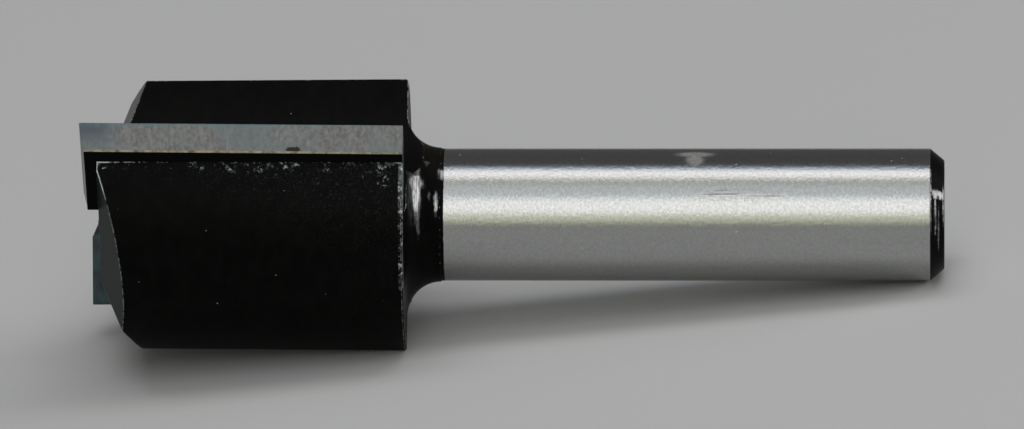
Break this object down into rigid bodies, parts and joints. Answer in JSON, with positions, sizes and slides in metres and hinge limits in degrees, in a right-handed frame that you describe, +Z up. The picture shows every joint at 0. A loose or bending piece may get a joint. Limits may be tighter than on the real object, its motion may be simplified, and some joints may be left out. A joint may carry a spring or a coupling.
{
  "type": "router bit",
  "caption": "Straight two-flute router bit: black painted head with brazed carbide cutting edges, concave neck and plain ground shank with a chamfered end.",
  "frame": {"origin": "on the surface that the bit lies on, under the middle of its box", "axes": "+X along the bit from the cutting end to the shank end, +Z up. The bit lies on its rear cutting edge, the front wing's heel and the end of the shank, so its own axis drops towards +X by 5.99 degrees"},
  "size_m": [0.0528, 0.0166, 0.0167],
  "materials": {
    "steel_body": "gloss",
    "carbide": "satin",
    "braze": "satin"
  },
  "bodies": {
    "root": {"cutter_body": "steel_body", "carbide_tip_front": "carbide", "carbide_tip_rear": "carbide", "braze_seam_front": "braze", "braze_seam_rear": "braze"}
  },
  "joints": []
}
